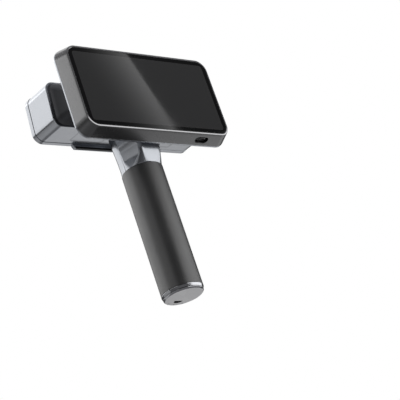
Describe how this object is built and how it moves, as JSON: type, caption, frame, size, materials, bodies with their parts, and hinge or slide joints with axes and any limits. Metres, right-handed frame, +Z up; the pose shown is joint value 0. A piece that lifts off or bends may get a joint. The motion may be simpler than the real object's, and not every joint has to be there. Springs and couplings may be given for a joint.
{
  "type": "handheld 3d scanner",
  "caption": "Self-contained handheld 3D scanner: wide optical head on a round pistol grip, touch display behind the head, battery in the grip.",
  "frame": {"origin": "centre of the flat foot, on the grip's axis", "axes": "+Z up the grip; +Y is where the cameras look; the screen faces -Y; +X is the user's right"},
  "size_m": [0.1776, 0.07, 0.2292],
  "materials": {
    "window_black": "polished black",
    "clear_glass": "clear coated glass",
    "silver_metal": "satin anodised silver",
    "silver_paint": "fine satin silver-grey paint",
    "black_plastic": "matt black",
    "dark_gloss": "semi-gloss near-black",
    "raw_aluminium": "machined",
    "brass_metal": "gold-plated",
    "circuit_board": "green solder mask",
    "light_emitter": "yellow phosphor",
    "steel_screw": "zinc-plated",
    "gunmetal_paint": "satin gunmetal",
    "screen_black": "polished cover glass over a dark display",
    "cable_rubber": "matt",
    "grip_rubber": "soft-touch dark grey",
    "chrome_ring": "bright",
    "grey_plastic": "light grey satin",
    "battery_wrap": "shrink wrap"
  },
  "bodies": {
    "scanner": {"front_window": "window_black", "camera_windows": "clear_glass", "projector_window": "clear_glass", "led_windows": "clear_glass", "sensor_windows": "clear_glass", "front_bezel": "silver_metal", "chin_lip": "silver_metal", "chin_strip": "black_plastic", "head_shell": "silver_metal", "bottom_cover": "silver_metal", "rear_housing": "dark_gloss", "top_vents": "black_plastic", "optical_frame": "raw_aluminium", "large_cameras": "black_plastic", "small_cameras": "black_plastic", "camera_lenses": "clear_glass", "pattern_projector": "black_plastic", "projector_lens": "clear_glass", "laser_modules": "brass_metal", "sensor_module": "black_plastic", "led_boards": "circuit_board", "led_emitters": "light_emitter", "sensor_board": "circuit_board", "blower_frame": "black_plastic", "heat_sink": "raw_aluminium", "board_screws": "steel_screw", "display_frame": "gunmetal_paint", "screen_glass": "screen_black", "screen_panel": "dark_gloss", "screen_carrier": "raw_aluminium", "main_board": "circuit_board", "processor_shield": "steel_screw", "display_back_shell": "silver_paint", "name_plate": "black_plastic", "usb_port": "steel_screw", "button_switch": "black_plastic", "display_screws": "steel_screw", "neck_front_shell": "silver_metal", "neck_rear_shell": "silver_metal", "neck_bracket": "raw_aluminium", "neck_screws": "steel_screw", "neck_cable": "cable_rubber", "grip_tube": "raw_aluminium", "grip_sleeve": "grip_rubber", "foot_ring": "chrome_ring", "battery_pack": "battery_wrap", "battery_contacts": "brass_metal", "contact_block": "black_plastic"},
    "button": {"power_button": "gunmetal_paint"},
    "rotor": {"blower_rotor": "black_plastic"},
    "cap": {"foot_cap": "grey_plastic", "foot_seal": "cable_rubber", "foot_contact": "brass_metal"}
  },
  "joints": [
    {"name": "power_press", "type": "slide", "parent": "scanner", "child": "button", "axis": [0, 0, -1], "range_m": [0, 0.0006], "stiffness_N_per_m": 1500},
    {"name": "blower_spin", "type": "hinge", "parent": "scanner", "child": "rotor", "pos_m": [0.05, -0.01596, 0.18444], "axis": [0, 0.9966, 0.0819], "continuous": true},
    {"name": "cap_turn", "type": "hinge", "parent": "scanner", "child": "cap", "pos_m": [0, 0, 0], "axis": [0, 0, 1], "range_deg": [0, 45]}
  ]
}
